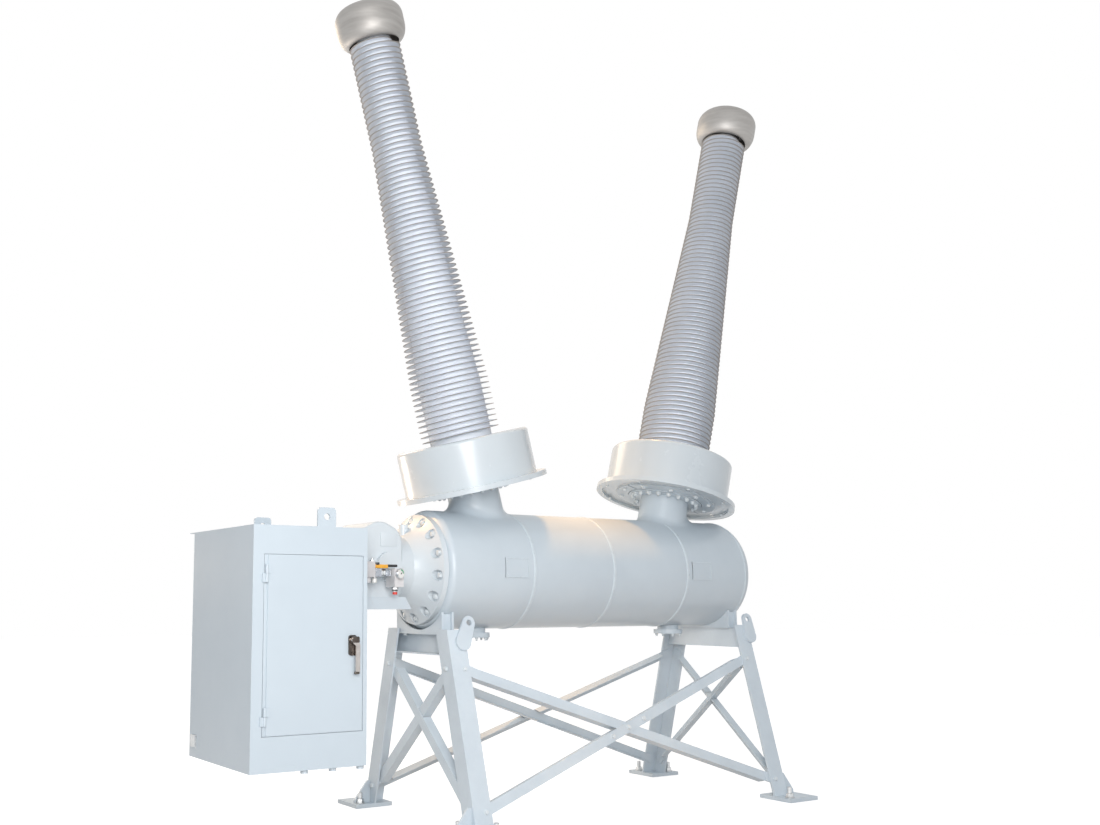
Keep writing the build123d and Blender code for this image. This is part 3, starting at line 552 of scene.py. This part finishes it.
# folded edge round the cabinet's door, wider beside the hinges
doorEdge = {"door": (-2.0230, -1.5520), "rise": (0.5050, 1.2850), "out": 0.0044, "hingeOut": 0.0165,
            "front": -0.3690, "hingeFront": -0.3665, "deep": 0.007, "lap": 0.002, "round": 0.0008}
bm = bmesh.new()
left, right = doorEdge["door"]
low, high = doorEdge["rise"]
out, lap, front, fold = doorEdge["out"], doorEdge["lap"], doorEdge["front"], doorEdge["round"]
hingeFront, back = doorEdge["hingeFront"], doorEdge["front"] + doorEdge["deep"]
addBar(bm, (left - doorEdge["hingeOut"], hingeFront, low - out),
       (left + lap, hingeFront + doorEdge["deep"], high + out), fold)
addBar(bm, (right - lap, front, low - out), (right + out, back, high + out), fold)
addBar(bm, (left, front, low - out), (right, back, low + lap), fold)
addBar(bm, (left, front, high - lap), (right, back, high + out), fold)
makePiece("doorEdge", bm, "cabinetPaint", body="cabinet_door")

# handle: dark cap over the pivot and a turned-in end on the grip
handle = {"cap": ((-1.6180, -0.4008, 0.8945), (-1.5770, -0.3880, 0.9240)), "capRound": 0.0060,
          "end": ((-1.6020, -0.3995, 0.7545), (-1.5765, -0.3850, 0.7665)), "endRound": 0.0040}
makeBar("handleCap", *handle["cap"], handle["capRound"], "darkChrome", "handle_chrome", body="door_handle")
makeBar("handleEnd", *handle["end"], handle["endRound"], "darkChrome", "handle_chrome", body="door_handle")
print("door trimmed")

# density dial: bezel with its case, face, green sector and pointer
dial = {"at": (-1.312, -0.315, 1.213), "towards": (0.33, -0.94, 0), "radius": 0.0260, "bezel": 0.0030,
        "face": 0.0012, "case": 0.014, "caseTaper": 0.80, "segments": 40, "bezelSegments": 10}
sector = {"inner": 0.52, "outer": 0.76, "turn": math.radians(100), "steps": 14, "thick": 0.0004}
pointer = {"length": 0.017, "turn": math.radians(50), "root": 0.0014, "tip": 0.0004, "lift": 0.0020,
           "segments": 8, "hub": 0.0030, "hubTop": 0.0024, "hubT": 0.0030, "hubLift": 0.0015,
           "hubSegments": 16}
dialPlace = facing(dial["at"], dial["towards"])
window = dial["radius"] - dial["bezel"]

bm = bmesh.new()
addRing(bm, dialPlace, window, dial["bezel"], dial["bezel"], dial["segments"], dial["bezelSegments"])
bmesh.ops.create_cone(bm, cap_ends=True, segments=dial["segments"],
                      radius1=dial["radius"] * dial["caseTaper"],
                      radius2=dial["radius"] - dial["bezel"] / 2, depth=dial["case"],
                      matrix=dialPlace @ lift(-dial["case"] / 2))
makePiece("dialBezel", bm, "zinc")
bm = bmesh.new()
addRod(bm, dialPlace, window, dial["face"], dial["segments"])
makePiece("dialFace", bm, "capWhite")
bm = bmesh.new()
arc = [bm.verts.new((dial["radius"] * share, 0, 0)) for share in (sector["inner"], sector["outer"])]
rung = bm.edges.new(arc)
bmesh.ops.spin(bm, geom=arc + [rung], cent=(0, 0, 0), axis=(0, 0, 1), angle=sector["turn"],
               steps=sector["steps"], use_merge=False)
bmesh.ops.solidify(bm, geom=bm.faces[:], thickness=sector["thick"])
bmesh.ops.transform(bm, matrix=dialPlace @ lift(dial["face"] + sector["thick"]), verts=bm.verts)
makePiece("dialSector", bm, "dialGreen")
bm = bmesh.new()
hand = Matrix.Rotation(pointer["turn"], 4, "Z") @ Matrix.Translation((pointer["length"] / 3, 0, 0))
hand = lift(dial["face"] + pointer["lift"]) @ hand @ Matrix.Rotation(math.pi / 2, 4, "Y")
bmesh.ops.create_cone(bm, cap_ends=True, segments=pointer["segments"], radius1=pointer["root"],
                      radius2=pointer["tip"], depth=pointer["length"], matrix=dialPlace @ hand)
bmesh.ops.create_cone(bm, cap_ends=True, segments=pointer["hubSegments"], radius1=pointer["hub"],
                      radius2=pointer["hubTop"], depth=pointer["hubT"],
                      matrix=dialPlace @ lift(dial["face"] + pointer["hubLift"]))
makePiece("dialPointer", bm, "blackPlastic")

# valve lever: black grip, and folded skirts beside the stem
grip = {"low": (-1.357, -0.2635, 1.2455), "high": (-1.301, -0.2405, 1.2575), "round": 0.004, "segments": 3}
makeBar("leverGrip", grip["low"], grip["high"], grip["round"], "blackPlastic", "lever_paint",
        body="valve_lever", segments=grip["segments"])

skirt = {"start": -1.427, "end": -1.355, "y": -0.252, "half": 0.0125, "thick": 0.0022, "low": 1.2395,
         "high": 1.2568, "round": 0.0007}
bm = bmesh.new()
for side in (-1, 1):
    y = skirt["y"] + side * (skirt["half"] - skirt["thick"] / 2)
    addBar(bm, (skirt["start"], y - skirt["thick"] / 2, skirt["low"]),
           (skirt["end"], y + skirt["thick"] / 2, skirt["high"]), skirt["round"])
makePiece("leverSkirts", bm, "leverYellow", body="valve_lever")

# union nuts on the valve's line, fill and drain ports, the plug on top and the lever's knob
cap = {"segments": 28, "round": 0.18, "steps": 3}
gasLine = {"y": -0.252, "z": 1.218, "nuts": (-1.386, -1.373, -1.342), "nut": 0.0185, "nutT": 0.011}
fill = {"x": -1.310, "nutLow": 1.137, "nut": 0.0165, "nutT": 0.014, "sealLow": 1.1335, "seal": 0.0125,
        "sealT": 0.0022, "sealSteps": 40, "sealSegments": 10, "capLow": 1.114, "cap": 0.0118, "capT": 0.013}
drain = {"x": -1.423, "capLow": 1.1690, "cap": 0.0125, "capT": 0.0215, "neckLow": 1.1895, "neck": 0.0085,
         "neckT": 0.012}
plug = {"at": (-1.441, -0.262, 1.2690), "nut": 0.0105, "nutT": 0.009, "tip": 0.0062, "tipT": 0.018}
knob = {"at": (-1.412, -0.252, 1.2545), "radius": 0.0150, "thick": 0.0120}


def addCap(bm, place, radius, height, segments=cap["segments"]):
    made = addRod(bm, place, radius, height, segments)
    ends = [f for f in {f for v in made for f in v.link_faces} if len(f.verts) > 4]
    roundEdges(bm, list({e for f in ends for e in f.edges}), min(height, radius) * cap["round"], cap["steps"])


def makeCap(name, place, radius, height, look, body="breaker"):
    bm = bmesh.new()
    addCap(bm, place, radius, height)
    makePiece(name, bm, look, body)


def onLine(x, z):
    return Matrix.Translation((x, gasLine["y"], z))


bm = bmesh.new()
for x in gasLine["nuts"]:
    place = facing((x - gasLine["nutT"] / 2, gasLine["y"], gasLine["z"]), (1, 0, 0))
    addCap(bm, place, gasLine["nut"], gasLine["nutT"], hexagon)
addCap(bm, onLine(fill["x"], fill["nutLow"]), fill["nut"], fill["nutT"], hexagon)
addCap(bm, onLine(drain["x"], drain["neckLow"]), drain["neck"], drain["neckT"])
addCap(bm, Matrix.Translation(plug["at"]), plug["nut"], plug["nutT"], hexagon)
addCap(bm, Matrix.Translation(plug["at"]), plug["tip"], plug["tipT"])
makePiece("unionNuts", bm, "zinc")
bm = bmesh.new()
addRing(bm, onLine(fill["x"], fill["sealLow"]), fill["seal"], fill["sealT"], fill["sealT"],
        fill["sealSteps"], fill["sealSegments"])
makePiece("fillSeal", bm, "blackPlastic")
makeCap("leverKnob", Matrix.Translation(knob["at"]), knob["radius"], knob["thick"], "blackPlastic",
        body="valve_lever")
makeCap("fillCap", onLine(fill["x"], fill["capLow"]), fill["cap"], fill["capT"], "capRed")
makeCap("drainCap", onLine(drain["x"], drain["capLow"]), drain["cap"], drain["capT"], "capWhite")
print("gas fittings set")

# camera, fitted to the photograph's view
view = {"place": (-4.089, -5.066, 1.082), "yaw": math.radians(58.658), "pitch": math.radians(7.693),
        "roll": math.radians(-0.068), "lens": 37.515, "sensor": 36.0, "shift": (0.11655, 0.03088)}
level = math.cos(view["pitch"])
forward = Vector((math.cos(view["yaw"]) * level, math.sin(view["yaw"]) * level, math.sin(view["pitch"])))
camera = bpy.data.objects.new("camera", bpy.data.cameras.new("camera"))
camera.data.sensor_width = view["sensor"]
camera.data.sensor_fit = "HORIZONTAL"
camera.data.lens = view["lens"]
camera.data.shift_x, camera.data.shift_y = view["shift"]
camera.location = view["place"]
aim = forward.to_track_quat("-Z", "Y").to_matrix() @ Matrix.Rotation(view["roll"], 3, "Z")
camera.rotation_euler = aim.to_euler()
bpy.context.scene.collection.objects.link(camera)
bpy.context.scene.camera = camera

# light: a soft key from the front, warm lamps high and low behind, narrow warm spots on tank and cover
lamps = {
    "key": {"place": (-3.3, -4.5, 2.2), "aim": (-0.6, 0.0, 2.0), "size": 2.8, "power": 182.0,
            "colour": (1.0, 0.985, 0.97)},
    "warm": {"place": (-1.2, 5.0, 5.0), "aim": (-0.2, 0.0, 1.8), "size": 3.0, "power": 100.0,
             "colour": (1.0, 0.82, 0.62)},
    "side": {"place": (-2.0, 3.6, 1.4), "aim": (-0.8, 0.2, 0.9), "size": 0.8, "power": 34.0,
             "colour": (1.0, 0.86, 0.72)},
    "glow": {"place": (0.1, 0.6, 6.4), "aim": (-0.05, -0.05, 1.5), "size": 0.5, "power": 1100.0,
             "colour": (1.0, 0.50, 0.13), "cone": math.radians(18), "blend": 0.8},
    "crown": {"place": (-2.6, 1.5, 3.3), "aim": (-1.06, -0.03, 1.46), "size": 0.2, "power": 235.0,
              "colour": (1.0, 0.50, 0.15), "cone": math.radians(15), "blend": 0.8},
}
for name, lamp in lamps.items():
    light = bpy.data.lights.new(name, "SPOT" if "cone" in lamp else "AREA")
    if "cone" in lamp:
        light.spot_size = lamp["cone"]
        light.spot_blend = lamp["blend"]
        light.shadow_soft_size = lamp["size"]
    else:
        light.shape = "DISK"
        light.size = lamp["size"]
    light.energy = lamp["power"]
    light.color = lamp["colour"]
    holder = bpy.data.objects.new(name, light)
    holder.visible_camera = False
    holder.matrix_world = facing(lamp["place"], Vector(lamp["place"]) - Vector(lamp["aim"]))
    bpy.context.scene.collection.objects.link(holder)


def seenDirectly(tree):
    path = tree.nodes.new("ShaderNodeLightPath")
    seen = path.outputs["Is Camera Ray"]
    for other in ("Is Glossy Ray", "Is Transmission Ray"):
        either = tree.nodes.new("ShaderNodeMath")
        either.operation = "MAXIMUM"
        tree.links.new(seen, either.inputs[0])
        tree.links.new(path.outputs[other], either.inputs[1])
        seen = either.outputs["Value"]
    return seen


# a pale room, warmer at the back, that shows white
room = {"front": (0.515, 0.545, 0.575), "back": (0.47, 0.445, 0.42), "towards": (-0.52, -0.85, 0.0),
        "backEnd": -0.7, "frontEnd": 0.5}
white = (1.0, 1.0, 1.0, 1.0)
world = bpy.data.worlds.new("room")
bpy.context.scene.world = world
world.use_nodes = True
tree = world.node_tree
backdrop = tree.nodes["Background"]
across = tree.nodes.new("ShaderNodeVectorMath")
across.operation = "DOT_PRODUCT"
across.inputs[1].default_value = room["towards"]
tree.links.new(tree.nodes.new("ShaderNodeTexCoord").outputs["Generated"], across.inputs[0])
blend = tree.nodes.new("ShaderNodeMapRange")
blend.inputs["From Min"].default_value = room["backEnd"]
blend.inputs["From Max"].default_value = room["frontEnd"]
tree.links.new(across.outputs["Value"], blend.inputs["Value"])
roomTone = mixColours(tree, blend.outputs["Result"], room["back"], room["front"])
tree.links.new(roomTone, backdrop.inputs["Color"])
plainWhite = tree.nodes.new("ShaderNodeBackground")
plainWhite.inputs["Color"].default_value = white
plainWhite.inputs["Strength"].default_value = 1.0
choose = tree.nodes.new("ShaderNodeMixShader")
tree.links.new(seenDirectly(tree), choose.inputs["Fac"])
tree.links.new(backdrop.outputs["Background"], choose.inputs[1])
tree.links.new(plainWhite.outputs["Background"], choose.inputs[2])
tree.links.new(choose.outputs["Shader"], tree.nodes["World Output"].inputs["Surface"])

# floor: shows near white and keeps the shadow
floor = {"size": 30.0, "drop": -0.001, "bounce": (0.60, 0.58, 0.57), "seen": (0.45, 0.45, 0.45),
         "glow": 0.80, "rough": 0.9, "specular": 0.1}
bm = bmesh.new()
bmesh.ops.create_grid(bm, x_segments=1, y_segments=1, size=floor["size"], matrix=lift(floor["drop"]))
mesh = bpy.data.meshes.new("floor")
bm.to_mesh(mesh)
bm.free()
ground = bpy.data.objects.new("floor", mesh)
bpy.context.scene.collection.objects.link(ground)
material = bpy.data.materials.new("floorWhite")
material.use_nodes = True
tree = material.node_tree
shader = tree.nodes["Principled BSDF"]
shader.inputs["Roughness"].default_value = floor["rough"]
shader.inputs["Specular IOR Level"].default_value = floor["specular"]
shader.inputs["Emission Color"].default_value = white
glow = tree.nodes.new("ShaderNodeMath")
glow.operation = "MULTIPLY"
glow.inputs[1].default_value = floor["glow"]
seen = seenDirectly(tree)
tree.links.new(mixColours(tree, seen, floor["bounce"], floor["seen"]), shader.inputs["Base Color"])
tree.links.new(seen, glow.inputs[0])
tree.links.new(glow.outputs["Value"], shader.inputs["Emission Strength"])
mesh.materials.append(material)
print("camera, lamps and floor set")

bpy.context.scene.view_settings.view_transform = "Standard"
print("scene ready")
